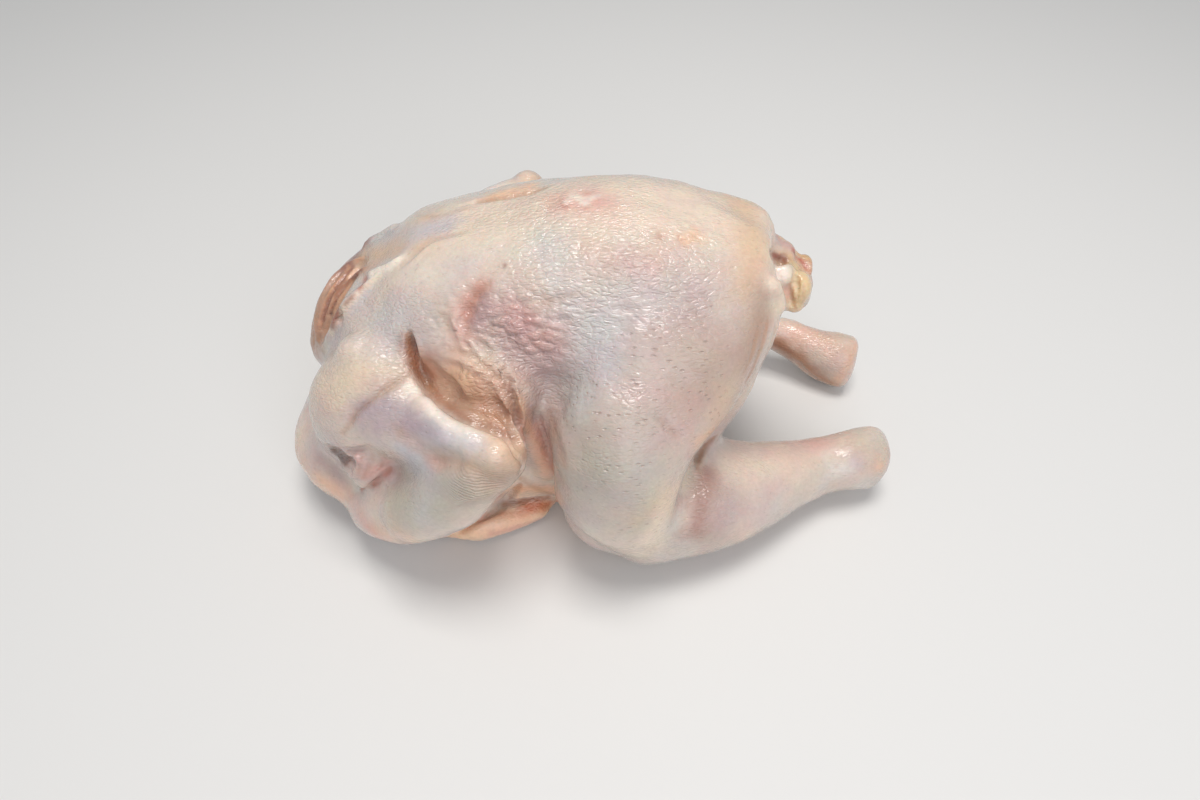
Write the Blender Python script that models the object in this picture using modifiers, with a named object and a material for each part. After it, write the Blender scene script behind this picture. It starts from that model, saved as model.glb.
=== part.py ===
"""Whole fryer chicken, plucked and drawn, lying on its breast with its back up.

The bird is one solid. Each muscle group is lofted as a closed tube of oval sections through a few stations. The
tubes are joined by a voxel remesh, which makes one skin over them, and the skin's folds are then pressed in.
+X runs towards the tail, -Y is the bird's left side and +Z is up. Stations are in millimetres.
"""

import math

import bmesh
import bpy
import numpy as np
from mathutils import Vector

MM = 0.001

VOXEL = 2.5  # size of the remesh that joins the tubes
TRIANGLES = 9500  # kept in the finished solid
FLAT = 0.4  # what lies this close to the ground is pressed flat on it
BACK_FULLNESS = 2.3  # power of the torso's section: 2 is an oval and more is fuller
BREAST_FULLNESS = 3.6
FAR_HOCK_BLUNT = 0.35  # 1 is round and 0 is flat

SKIN_COLOUR = (0.74, 0.60, 0.51, 1.0)
SKIN_ROUGHNESS = 0.38

ACROSS = Vector((1, 0, 0))
UP = Vector((0, 0, 1))

# x, height of the back, height of the belly, half width
TORSO = (
    (-110, 60, 30, 14),
    (-106, 76, 12, 28),
    (-98, 91, 2, 39),
    (-86, 105, -6, 47),
    (-68, 117, -6, 53),
    (-42, 124, -6, 54),
    (-14, 130, -6, 52),
    (12, 132, -4, 50),
    (34, 128, 8, 47),
    (49, 125, 30, 41),
    (59, 122, 52, 34),
    (64, 117, 68, 25),
)
# Each station is x, y, z of the section's centre, then its half width and half height.
LEG = (
    (42, -16, 88, 20, 23),
    (26, -32, 81, 27, 30),
    (10, -45, 66, 35, 30),
    (8, -54, 48, 34, 28),
    (9, -57, 34, 30, 27),
    (6, -57, 28, 23, 23),
)
DRUMSTICK = (
    (4, -58, 29, 20, 20),
    (14, -58, 29, 27, 26),
    (32, -56, 27, 26, 23),
    (52, -51, 24, 23, 20),
    (72, -43, 21, 18, 16),
    (92, -35, 19, 13, 12.5),
    (104, -32, 19, 13, 14),
    (114, -30, 19, 13, 14.5),
)
# The far leg is less bent: its shank leaves the ground and its hock was cut square.
FAR_DRUMSTICK = (
    (4, -58, 29, 20, 20),
    (14, -58, 29, 27, 26),
    (30, -57, 28, 26, 23),
    (48, -54, 27, 20, 18),
    (66, -50, 25, 12.5, 12.5),
    (84, -45, 23, 8.5, 8.5),
    (98, -39, 18, 10, 10),
    (111, -35, 14.5, 12.5, 13.5),
    (122, -33, 14, 13, 14),
)
# The hip muscle fills the skin out between the back and the leg.
HIP = (
    (-4, -30, 92, 18, 18),
    (16, -33, 90, 24, 24),
    (36, -28, 90, 23, 23),
    (50, -20, 92, 18, 18),
)
# The neck skin hangs down before the breast and lies in a roll on the ground.
NECK_SKIN = (
    (-84, -36, 28, 24, 24),
    (-103, -33, 26, 23, 23),
    (-114, -24, 25, 19, 18),
    (-113, 0, 27, 17, 20),
    (-112, 20, 25, 18, 19),
    (-103, 31, 26, 22, 23),
    (-84, 34, 28, 24, 24),
)
NECK = (
    (-84, 0, 80, 34, 26),
    (-98, 0, 70, 27, 22),
    (-106, 0, 63, 18, 16),
)
SHOULDER = (
    (-66, -30, 80, 22, 22),
    (-78, -34, 74, 24, 24),
    (-87, -36, 62, 25, 26),
    (-91, -36, 48, 22, 23),
)
UPPER_ARM = (
    (-84, -40, 68, 18, 18),
    (-70, -50, 72, 17, 17),
    (-52, -61, 75, 14, 13),
    (-36, -68, 75, 12, 12),
)
FOREARM = (
    (-36, -70, 75, 13, 12),
    (-52, -70, 60, 12, 17),
    (-71, -64, 42, 13, 21),
    (-87, -58, 28, 12, 17),
    (-96, -52, 18, 9, 12),
)
HAND = (
    (-92, -53, 12, 10, 9),
    (-70, -54, 8, 11, 7),
    (-44, -50, 6, 9, 5),
    (-22, -43, 5, 4, 3.5),
)
TAIL = (
    (48, 0, 101, 22, 13),
    (62, 0, 99, 19, 13),
    (71, 0, 94, 15, 11.5),
    (76, 0, 87, 11, 9),
)
# The far wing lies a little differently from the near one: its shoulder is lower and its elbow stands out.
FAR_SHOULDER = Vector((0, 2, -8))
FAR_ELBOW = Vector((3, 5, 4))

# Folds of the skin on both sides: a line, the groove's half width and its depth.
FOLDS = (
    # under the wing, where the upper arm meets the side of the breast
    (((-72, -40, 94), (-62, -46, 88), (-52, -51, 82)), 6, 5),
    # between the thigh and the drumstick
    (((43, -46, 64), (37, -58, 57), (32, -67, 51), (29, -74, 42)), 5, 5),
    # along the front of the thigh
    (((-16, -48, 88), (-18, -54, 74), (-20, -54, 56), (-18, -52, 30)), 7, 4),
    # between the neck skin and the wing
    (((-102, -50, 46), (-108, -46, 30), (-106, -48, 14)), 5, 4),
)
MIDDLE_FOLDS = (
    # the vent, under the tail
    (((66, 0, 74), (64, 0, 62), (60, 0, 50)), 12, 8),
)


def spread(stations, rings):
    """Numbers of rings worked out on a smooth curve (Catmull-Rom) through the stations."""
    points = np.array(stations, float)
    points = np.vstack([2 * points[0] - points[1], points, 2 * points[-1] - points[-2]])
    found = []
    for place in np.linspace(1, len(points) - 2 - 1e-9, rings):
        i = int(place)
        t = place - i
        a, b, c, d = points[i - 1 : i + 3]
        found.append(
            0.5 * (2 * b + (c - a) * t + (2 * a - 5 * b + 4 * c - d) * t**2 + (3 * b - a - 3 * c + d) * t**3)
        )
    return np.array(found)


def skin_rings(mesh, rings):
    """Joins rings of points into a closed tube."""
    rings = [[mesh.verts.new(point * MM) for point in ring] for ring in rings]
    count = len(rings[0])
    for a, b in zip(rings, rings[1:]):
        for k in range(count):
            mesh.faces.new((a[k], a[(k + 1) % count], b[(k + 1) % count], b[k]))
    mesh.faces.new(rings[0][::-1])
    mesh.faces.new(rings[-1])


def tube(mesh, stations, up, place=lambda point: point, rings=24, sides=32, blunt=1.0):
    """Adds a closed tube of oval sections through the stations. Blunt 1 makes round ends and 0 flat ones."""
    rows = spread(stations, rings)
    line = rows[:, :3]
    along = np.gradient(line, axis=0)
    along /= np.linalg.norm(along, axis=1)[:, None]
    side = np.cross(along, up)
    side /= np.linalg.norm(side, axis=1)[:, None]
    top = np.cross(side, along)
    turns = np.linspace(0, 2 * math.pi, sides, endpoint=False)
    bulge = np.sin(np.linspace(0, math.pi / 2, 6))

    def section(i, share, past):
        bulged = blunt * min(rows[i, 3], rows[i, 4]) * math.sqrt(1 - share * share)
        centre = line[i] + along[i] * past * bulged
        ring = centre + share * (
            np.outer(np.cos(turns) * rows[i, 3], side[i]) + np.outer(np.sin(turns) * rows[i, 4], top[i])
        )
        return [Vector(place(point)) for point in ring]

    found = [section(0, share, -1) for share in bulge[1:-1]]
    found += [section(i, 1, 0) for i in range(len(rows))]
    found += [section(-1, share, 1) for share in bulge[-2:0:-1]]
    skin_rings(mesh, found)


def torso(mesh, rings=48, sides=56):
    """The body: upright sections, fuller than an oval and fullest where the breast lies on the ground."""
    found = []
    for x, top, bottom, wide in spread(TORSO, rings):
        ring = []
        for k in range(sides):
            turn = 2 * math.pi * k / sides
            across, rise = math.cos(turn), math.sin(turn)
            fullness = BACK_FULLNESS if rise > 0 else BREAST_FULLNESS
            across = math.copysign(abs(across) ** (2 / fullness), across)
            rise = math.copysign(abs(rise) ** (2 / fullness), rise)
            ring.append(Vector((x, across * wide, (top + bottom) / 2 + rise * (top - bottom) / 2)))
        found.append(ring)
    skin_rings(mesh, found)


def near(point):
    return point


def far(point):
    return (point[0], -point[1], point[2])


def far_wing(point):
    share = min(1, max(0, (point[0] + 90) / 55)) * min(1, max(0, point[2] / 60))
    lower = min(1, max(0, point[2] / 60))
    return Vector((point[0], -point[1], point[2])) + FAR_SHOULDER.lerp(FAR_ELBOW, share) * lower


def rest_flat(mesh):
    """The bird's own weight presses what it lies on flat: the tubes are cut at the ground and closed there."""
    everything = mesh.verts[:] + mesh.edges[:] + mesh.faces[:]
    bmesh.ops.bisect_plane(mesh, geom=everything, plane_co=(0, 0, 0), plane_no=UP, clear_inner=True)
    bmesh.ops.holes_fill(mesh, edges=[edge for edge in mesh.edges if edge.is_boundary])


def blockout():
    """The muscle groups as separate closed tubes in one mesh."""
    mesh = bmesh.new()
    torso(mesh)
    tube(mesh, TAIL, UP)
    tube(mesh, NECK, UP)
    tube(mesh, NECK_SKIN, UP)
    tube(mesh, DRUMSTICK, UP, near)
    tube(mesh, FAR_DRUMSTICK, UP, far, blunt=FAR_HOCK_BLUNT)
    for leg, wing in ((near, near), (far, far_wing)):
        tube(mesh, LEG, ACROSS, leg)
        tube(mesh, HIP, UP, leg)
        tube(mesh, SHOULDER, ACROSS, wing)
        tube(mesh, UPPER_ARM, UP, wing)
        tube(mesh, FOREARM, ACROSS + UP, wing)
        tube(mesh, HAND, UP, wing)
    rest_flat(mesh)
    bmesh.ops.recalc_face_normals(mesh, faces=mesh.faces)
    data = bpy.data.meshes.new("chicken")
    mesh.to_mesh(data)
    mesh.free()
    chicken = bpy.data.objects.new("chicken", data)
    bpy.context.scene.collection.objects.link(chicken)
    return chicken


def apply_modifiers(thing):
    graph = bpy.context.evaluated_depsgraph_get()
    data = bpy.data.meshes.new_from_object(thing.evaluated_get(graph))
    thing.modifiers.clear()
    thing.data = data


def places(data):
    found = np.empty(len(data.vertices) * 3, np.float32)
    data.vertices.foreach_get("co", found)
    return found.reshape(-1, 3).astype(float) / MM


def outward(data):
    found = np.empty(len(data.vertices) * 3, np.float32)
    data.vertices.foreach_get("normal", found)
    return found.reshape(-1, 3).astype(float)


def distance_to_line(points, line):
    """Distance of each point from a line of straight pieces."""
    line = np.array(line, float)
    nearest = np.full(len(points), np.inf)
    for a, b in zip(line, line[1:]):
        share = np.clip(((points - a) @ (b - a)) / ((b - a) @ (b - a)), 0, 1)
        nearest = np.minimum(nearest, np.linalg.norm(points - a - share[:, None] * (b - a), axis=1))
    return nearest


def fold(points, normals, line, wide, deep):
    """Presses a rounded groove along a line (a negative depth raises a ridge)."""
    share = np.exp(-((distance_to_line(points, line) / wide) ** 2))
    points -= normals * (deep * share)[:, None]


def press_folds(data):
    points, normals = places(data), outward(data)
    for side in (1, -1):
        for line, wide, deep in FOLDS:
            fold(points, normals, np.array(line) * (1, side, 1), wide, deep)
    for line, wide, deep in MIDDLE_FOLDS:
        fold(points, normals, line, wide, deep)
    data.vertices.foreach_set("co", (points * MM).astype(np.float32).ravel())
    data.update()


def centre_on_base(data):
    points = places(data)
    low, high = points.min(axis=0), points.max(axis=0)
    middle = (low + high) / 2
    middle[2] = low[2]
    points -= middle
    points[points[:, 2] < FLAT, 2] = 0
    data.vertices.foreach_set("co", (points * MM).astype(np.float32).ravel())
    data.update()
    print("moved by", -middle, "size", high - low)


def skin_material():
    material = bpy.data.materials.new("skin")
    material.use_nodes = True
    shader = material.node_tree.nodes["Principled BSDF"]
    shader.inputs["Base Color"].default_value = SKIN_COLOUR
    shader.inputs["Roughness"].default_value = SKIN_ROUGHNESS
    return material


def main():
    for old in list(bpy.data.objects):
        bpy.data.objects.remove(old)
    chicken = blockout()
    skin = chicken.modifiers.new("one_skin", "REMESH")
    skin.mode = "VOXEL"
    skin.voxel_size = VOXEL * MM
    soften = chicken.modifiers.new("soften", "SMOOTH")
    soften.factor = 0.5
    soften.iterations = 12
    apply_modifiers(chicken)
    press_folds(chicken.data)
    fewer = chicken.modifiers.new("fewer", "DECIMATE")
    fewer.ratio = TRIANGLES / (2 * len(chicken.data.polygons))
    fewer.use_collapse_triangulate = True
    apply_modifiers(chicken)
    centre_on_base(chicken.data)
    chicken.data.shade_smooth()
    chicken.data.materials.append(skin_material())


main()
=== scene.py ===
# %% [markdown]
# # A whole fryer chicken, raw and plucked
# The object is one bird: pale loose skin over muscle, fat and bone, lying on its breast with its back up. Its
# CAD solid has the muscle groups and the main folds. This lesson dresses that solid: it adds the cut neck, the
# tail and the small folds, wrinkles the skin, paints its tints and gives it a wet skin finish.

# %% Load the frame
import math

import bmesh
import bpy
import numpy as np
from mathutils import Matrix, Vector
from mathutils.bvhtree import BVHTree


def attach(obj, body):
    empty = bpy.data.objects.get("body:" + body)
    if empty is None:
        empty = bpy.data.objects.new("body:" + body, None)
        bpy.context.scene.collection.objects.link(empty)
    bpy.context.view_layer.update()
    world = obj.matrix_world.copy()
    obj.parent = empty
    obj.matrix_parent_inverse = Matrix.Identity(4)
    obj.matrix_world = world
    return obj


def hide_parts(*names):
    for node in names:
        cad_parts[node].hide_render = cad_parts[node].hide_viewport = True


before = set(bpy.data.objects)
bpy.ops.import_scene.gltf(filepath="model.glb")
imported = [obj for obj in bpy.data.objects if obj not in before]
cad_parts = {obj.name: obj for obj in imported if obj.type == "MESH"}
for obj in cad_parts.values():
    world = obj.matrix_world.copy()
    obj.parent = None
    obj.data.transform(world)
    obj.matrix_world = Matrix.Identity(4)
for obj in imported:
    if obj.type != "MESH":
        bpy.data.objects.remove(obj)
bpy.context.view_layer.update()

MM = 0.001

# %% [markdown]
# ## Camera
# A photograph can be matched by solving its camera from things of known size. The lens, the tilt and the height
# were worked out from straight edges of a known length. Points on the skin are then named by the pixel where they
# show in a picture of 1200 x 800, which keeps every fold where it belongs.

# %% The camera and its rays
WIDE, HIGH = 1200, 800
FOCAL = 751.0  # pixels
HORIZON = 882  # pixels from the picture's middle up to the horizon
TILT = math.atan(HORIZON / FOCAL)  # how far the camera looks down
EYE = Vector((2.94, -226.16, 287.0))  # millimetres

camera = bpy.data.objects.new("camera", bpy.data.cameras.new("camera"))
camera.data.sensor_width = 36.0
camera.data.lens = FOCAL * camera.data.sensor_width / WIDE
camera.location = EYE * MM
camera.rotation_euler = (math.pi / 2 - TILT, 0, 0)
bpy.context.scene.collection.objects.link(camera)
bpy.context.scene.camera = camera


def sight(px, py):
    """Direction from the eye through a pixel."""
    right, up = (px - WIDE / 2) / FOCAL, (HIGH / 2 - py) / FOCAL
    level, down = math.cos(TILT), math.sin(TILT)
    return Vector((right, level + up * down, -down + up * level)).normalized()


print("lens", round(camera.data.lens, 2), "mm")

# %% [markdown]
# ## The base form
# The solid's mesh is copied, so the solid itself stays as it is. One round of subdivision turns its flat
# triangles into a smooth skin. A few soft pulls, like a sculptor's grab brush, then bring outlines nearer to
# the real bird.

# %% A mesh as plain numbers
def evaluated(thing):
    """The object's mesh with its modifiers applied."""
    graph = bpy.context.evaluated_depsgraph_get()
    return bpy.data.meshes.new_from_object(thing.evaluated_get(graph))


def places(data):
    """The mesh's points in millimetres."""
    found = np.empty(len(data.vertices) * 3, np.float32)
    data.vertices.foreach_get("co", found)
    return found.reshape(-1, 3).astype(float) / MM


def outward(data):
    """The way that the skin faces at each point."""
    found = np.empty(len(data.vertices) * 3, np.float32)
    data.vertices.foreach_get("normal", found)
    return found.reshape(-1, 3).astype(float)


def put_back(data, points):
    data.vertices.foreach_set("co", (points * MM).astype(np.float32).ravel())
    data.update()


WELD = 0.001 * MM  # the solid's faces come apart, and points this close are one
print("nodes", list(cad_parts))

# %% Copy and smooth the solid
bird = bpy.data.objects.new("chicken_skin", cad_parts["chicken"].data.copy())
bpy.context.scene.collection.objects.link(bird)
mesh = bmesh.new()
mesh.from_mesh(bird.data)
bmesh.ops.remove_doubles(mesh, verts=mesh.verts, dist=WELD)
mesh.to_mesh(bird.data)
print("solid", len(mesh.verts), "points, closed", all(edge.is_manifold for edge in mesh.edges))
mesh.free()
round_off = bird.modifiers.new("round_off", "SUBSURF")
round_off.levels = round_off.render_levels = 1
form = evaluated(bird)
bird.modifiers.clear()
bird.data = form
print("base form", len(form.vertices), "points")


# %% Find the skin at a pixel
REACHES = range(240, 460, 4)  # millimetres from the eye, from before the bird to behind it


def tree_of(data):
    points = [tuple(point) for point in places(data)]
    return BVHTree.FromPolygons(points, [tuple(face.vertices) for face in data.polygons])


def seen(px, py):
    """The point of the skin that shows at a pixel, or the nearest to it, and the way that it faces."""
    way = sight(px, py)
    point, normal, _, _ = skin_tree.ray_cast(EYE, way)
    if point is None:
        tries = [skin_tree.find_nearest(EYE + way * reach) for reach in REACHES]
        point, normal = min(tries, key=lambda found: found[3])[:2]
    return np.array(point), np.array(normal)


skin_tree = tree_of(form)
print("the picture's middle shows", np.round(seen(WIDE / 2, HIGH / 2)[0], 1))


# %% Pull the outlines
def pull(points, pixel, by, reach):
    """Moves the skin round a pixel by a number of pixels across and down the picture."""
    centre = seen(*pixel)[0]
    depth = (Vector(centre) - EYE).length / FOCAL
    right = np.array((1.0, 0.0, 0.0))
    down = np.array((0.0, -math.sin(TILT), -math.cos(TILT)))
    move = (right * by[0] + down * by[1]) * depth
    share = np.exp(-((np.linalg.norm(points - centre, axis=1) / reach) ** 2))
    points += share[:, None] * move


# A pixel, how far its skin moves across and down the picture in pixels, and the reach in millimetres.
PULLS = (
    # the far hip, and the corner of the rump
    ((690, 184), (0, 1), 16),
    ((728, 200), (0, 4), 8),
    ((747, 206), (0, 7), 8),
    ((764, 214), (5, -3), 8),
    # the neck's outline
    ((345, 262), (5, 4), 12),
    ((318, 310), (4, 0), 12),
    # the cut end of the far leg
    ((857, 338), (4, -1), 5),
    ((838, 383), (2, 3), 5),
    # the near hock's knob
    ((876, 428), (4, -4), 7),
    ((872, 484), (2, 3), 7),
    # behind the knee
    ((727, 438), (-9, -4), 7),
    # the far shank
    ((803, 345), (0, -9), 14),
    ((790, 325), (0, -4), 8),
    # under the tail
    ((800, 312), (0, -4), 8),
)
points = places(form)
for pixel, by, reach in PULLS:
    pull(points, pixel, by, reach)
points[:, 2] = np.maximum(points[:, 2], 0)
put_back(form, points)
skin_tree = tree_of(form)
print("pulled", len(PULLS), "places")

# %% [markdown]
# ## Muscle, skin web and wing tip
# The folded wing is more than a tube: the forearm is an egg of muscle, the elbow a knob, and loose skin bridges
# the gap to the flank. Closed rolls and lumps are sunk in the base form. A voxel remesh then grows one closed
# skin over all of it, and smoothing lets the joins flow as skin does.

# %% Lines along the skin
LEAP = 12.0  # a line never leaps further than this, such as from the thigh to the leg behind it


def trace(line, step=5.0):
    """Points on the skin along a line of pixels, a few pixels apart, and the way that it faces there."""
    found = []
    for (ax, ay), (bx, by) in zip(line, line[1:]):
        count = max(1, int(math.hypot(bx - ax, by - ay) / step))
        for k in range(count):
            found.append(seen(ax + (bx - ax) * k / count, ay + (by - ay) * k / count))
    found.append(seen(*line[-1]))
    kept = found[:1]
    for point, normal in found[1:]:
        if np.linalg.norm(point - kept[-1][0]) < LEAP:
            kept.append((point, normal))
    if len(kept) < 2:
        kept = kept * 2
    return np.array([point for point, _ in kept]), np.array([normal for _, normal in kept])


def mirrored(points):
    """The same line on the bird's other side, on the skin there."""
    found = [skin_tree.find_nearest(Vector((x, -y, z))) for x, y, z in points]
    return np.array([f[0] for f in found]), np.array([f[1] for f in found])


def smooth_line(points, rounds=3):
    points = points.copy()
    for _ in range(rounds):
        points[1:-1] = (points[:-2] + 2 * points[1:-1] + points[2:]) / 4
    return points


print("a line over the thigh has", len(trace(((560, 380), (660, 380)))[0]), "points")

# %% Rolls and lumps
SIDES = 14  # of a roll's section
TAPER = 6  # a roll's ends narrow over a sixth of its length
TIP = 0.25  # its square root, a half, is the part of the radius that is left at the very end


def tube(mesh, points, normals, radius, sink):
    """A closed round strand sunk in the skin along a line, tapered at both ends."""
    points = smooth_line(points - normals * radius * sink)
    along = np.gradient(points, axis=0)
    along /= np.linalg.norm(along, axis=1)[:, None] + 1e-9
    side = np.cross(along, smooth_line(normals))
    side /= np.linalg.norm(side, axis=1)[:, None] + 1e-9
    top = np.cross(side, along)
    turns = np.linspace(0, 2 * math.pi, SIDES, endpoint=False)
    share = np.linspace(0, 1, len(points))
    size = radius * np.clip(np.minimum(share, 1 - share) * TAPER, TIP, 1) ** 0.5
    rings = []
    for i, point in enumerate(points):
        ring = point + size[i] * (np.outer(np.cos(turns), side[i]) + np.outer(np.sin(turns), top[i]))
        rings.append([mesh.verts.new(tuple(spot * MM)) for spot in ring])
    for a, b in zip(rings, rings[1:]):
        for k in range(SIDES):
            mesh.faces.new((a[k], a[(k + 1) % SIDES], b[(k + 1) % SIDES], b[k]))
    mesh.faces.new(rings[0][::-1])
    mesh.faces.new(rings[-1])


def roll(mesh, line, radius, sink=0.4, both=False):
    """A strand along a line of pixels, on one side or on both."""
    points, normals = trace(line)
    tube(mesh, points, normals, radius, sink)
    if both:
        tube(mesh, *mirrored(points), radius, sink)


def lump(mesh, pixel, radii, sink=0.4, both=False):
    """A closed egg shape sunk in the skin at a pixel: its sizes along X, Y and Z."""
    point, normal = seen(*pixel)
    spots = [(point, normal)]
    if both:
        other, outwards = mirrored([point])
        spots.append((other[0], outwards[0]))
    for point, normal in spots:
        centre = Vector((point - normal * min(radii) * sink) * MM)
        for vertex in bmesh.ops.create_icosphere(mesh, subdivisions=3, radius=1.0)["verts"]:
            vertex.co = centre + Vector([a * b * MM for a, b in zip(vertex.co, radii)])


print("a roll's section has", SIDES, "sides")


# %% Grow the shapes into one skin
def joined(extras, voxel, rounds):
    """The form and the extra closed shapes, grown into one smooth closed skin."""
    mesh = bmesh.new()
    mesh.from_mesh(form)
    extras(mesh)
    mesh.to_mesh(form)
    mesh.free()
    bird.data = form
    one_skin = bird.modifiers.new("one_skin", "REMESH")
    one_skin.mode = "VOXEL"
    one_skin.voxel_size = voxel * MM
    soften = bird.modifiers.new("soften", "SMOOTH")
    soften.factor = 0.5
    soften.iterations = rounds
    found = evaluated(bird)
    bird.modifiers.clear()
    bird.data = found
    return found


FORM_VOXEL, FORM_ROUNDS = 1.5, 7  # the remesh in millimetres, and the rounds of smoothing
print("the first skin is grown at", FORM_VOXEL, "mm")

# %% The wing's forms
# A line of pixels, the radius in millimetres and how deep it is sunk, in radii.
WING_ROLLS = (
    # the forearm, and the upper arm over it
    (((364, 512), (390, 510), (420, 504), (450, 495), (480, 484), (500, 476)), 13.5, 0.8),
    (((412, 392), (440, 418), (470, 436), (498, 448)), 9.0, 0.72),
    # the pink fold at the wrist
    (((354, 450), (360, 466), (368, 484)), 7.0, 0.4),
    # the wing's tip
    (((458, 535), (482, 529), (507, 521), (535, 512), (566, 499)), 6.2, 0.35),
    # the skin web between the wing and the thigh
    (((522, 415), (534, 445), (548, 475), (560, 492)), 6.0, 0.3),
    (((545, 385), (556, 425), (566, 460), (575, 490)), 13.0, 0.8),
)
# A pixel, the sizes along X, Y and Z, and how deep it is sunk.
WING_LUMPS = (
    ((500, 458), (9, 8, 9), 0.62),
    ((490, 392), (14, 9, 16), 0.4),
    ((514, 396), (9, 9, 12), 0.1),
    ((519, 418), (6, 8, 9), 0.2),
    ((352, 345), (11, 9, 9), 0.75),
    ((368, 467), (12, 10, 10), 0.45),
    ((388, 470), (8, 7, 7), 0.45),
)


def wing_forms(mesh):
    for line, radius, sink in WING_ROLLS:
        roll(mesh, line, radius, sink, both=True)
    for pixel, radii, sink in WING_LUMPS:
        lump(mesh, pixel, radii, sink, both=True)


form = joined(wing_forms, FORM_VOXEL, FORM_ROUNDS)
skin_tree = tree_of(form)
print("wing forms", len(WING_ROLLS), "rolls", len(WING_LUMPS), "lumps;", len(form.vertices), "points")

# %% [markdown]
# ## The cut neck, the tail and the skin edges
# Where the neck and the tail were cut, skin ends in thick soft edges over strands of flesh, fat and gristle.
# The flesh lies deeper than the skin, so the skin is pressed in there first. The strands are rolls again, and
# the second remesh is finer so that they stay separate.

# %% Strokes
def distance_to_line(points, line):
    """Distance of each point from a line of straight pieces, how far along it is, and the way to it."""
    nearest = np.full(len(points), np.inf)
    along = np.zeros(len(points))
    offset = np.zeros((len(points), 3))
    for k, (a, b) in enumerate(zip(line, line[1:])):
        run = b - a
        share = np.clip(((points - a) @ run) / (run @ run + 1e-9), 0, 1)
        away = points - a - share[:, None] * run
        length = np.linalg.norm(away, axis=1)
        closer = length < nearest
        nearest[closer], along[closer], offset[closer] = length[closer], k + share[closer], away[closer]
    return nearest, along, offset


def around(points, line, reach):
    """Which points lie in the box round a line."""
    low, high = line.min(axis=0) - reach, line.max(axis=0) + reach
    return np.flatnonzero(((points > low) & (points < high)).all(axis=1))


SHORT = 4  # a line of so few points is a dent, and is as deep at its ends
FADE = 3  # points over which a longer line grows shallow and narrow
LEFT_AT_END = 0.2  # of its depth
LIP_AT = 1.9  # half widths from the line


def press(line, normals, wide, deep, lip=0.0):
    """Presses a groove along a line. A lip above 0 lifts a roll on its left, below 0 on its right."""
    taper = len(line) > SHORT
    line = smooth_line(line, 2)
    near = around(where, line, 4 * wide)
    if not len(near):
        return
    away, along, offset = distance_to_line(where[near], line)
    from_end = np.minimum(along, len(line) - 1 - along)
    fade = np.clip(LEFT_AT_END + from_end / FADE, 0, 1) if taper else 1.0
    change = -deep * np.exp(-((away / (wide * (0.5 + 0.5 * fade))) ** 2))
    if lip:
        piece = np.minimum(along.astype(int), len(line) - 1)
        run = np.gradient(line, axis=0)[piece]
        left = np.einsum("ij,ij->i", np.cross(normals[piece], run), offset)
        beside = away * np.sign(left) * math.copysign(1, lip)
        change += abs(lip) * np.exp(-(((beside - LIP_AT * wide) / wide) ** 2))
    where[near] += facing[near] * (change * fade)[:, None]


FAR_SIDE = 0.5  # the far side is mostly hidden, so its folds are guessed and kept shallow


def stroke(line, wide, deep, lip=0.0, both=True):
    """Presses a groove along a line of pixels, on both sides or on one."""
    points, normals = trace(line)
    press(points, normals, wide, deep, lip)
    if both:
        points, normals = mirrored(points)
        press(points, normals, wide, FAR_SIDE * deep, -FAR_SIDE * lip)


print("a groove's lip stands", LIP_AT, "half widths beside it")

# %% Press in the cut flesh of the neck, and the tail's root
# A line of pixels, its half width and its depth.
RECESSES = (
    (((360, 250), (348, 270), (337, 288), (328, 306), (321, 326), (319, 342)), 6.5, 4.5),
    (((777, 240), (779, 262), (784, 282), (790, 300)), 3.0, 3.0),
)
where, facing = places(form), outward(form)
for line, wide, deep in RECESSES:
    stroke(line, wide, deep, both=False)
put_back(form, where)
skin_tree = tree_of(form)
print("pressed in", len(RECESSES), "recesses")

# %% Strands, gristle and fat
# A line of pixels, the radius in millimetres and how deep it is sunk, in radii.
EDGES_AND_STRANDS = (
    # the near and the far edge of the neck's skin, and the fat between them
    (((380, 274), (361, 290), (352, 299), (343, 309), (337, 319), (331, 333), (322, 350)), 2.4, 0.1),
    (((394, 216), (378, 226), (367, 236), (362, 249)), 2.6, 0.3),
    (((401, 257), (398, 263), (389, 267), (376, 271), (366, 273)), 1.8, 0.1),
    # strands of flesh
    (((349, 266), (335, 281), (325, 299), (319, 320), (318, 342)), 2.2, 0.0),
    (((357, 267), (343, 281), (332, 297), (326, 315), (322, 336)), 2.0, -0.1),
    (((365, 267), (351, 282), (341, 295), (334, 310)), 1.9, 0.0),
    (((358, 290), (347, 302), (338, 315), (330, 331), (323, 348)), 1.8, 0.0),
    (((350, 284), (338, 299), (330, 315)), 1.3, -0.5),
    (((363, 257), (351, 263), (340, 273)), 1.7, 0.0),
    # the rear edge of the back's skin
    (((772, 218), (775, 232), (775, 244)), 1.7, 0.3),
    (((770, 278), (776, 290), (779, 302), (780, 314)), 3.2, 0.1),
    # the membrane over the tail, and the folds of its fat
    (((776, 234), (788, 238), (798, 246), (812, 255)), 1.5, 0.1),
    (((789, 284), (788, 296), (791, 308)), 1.6, 0.2),
    (((811, 272), (812, 284), (808, 298), (802, 308)), 1.7, 0.2),
)
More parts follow.
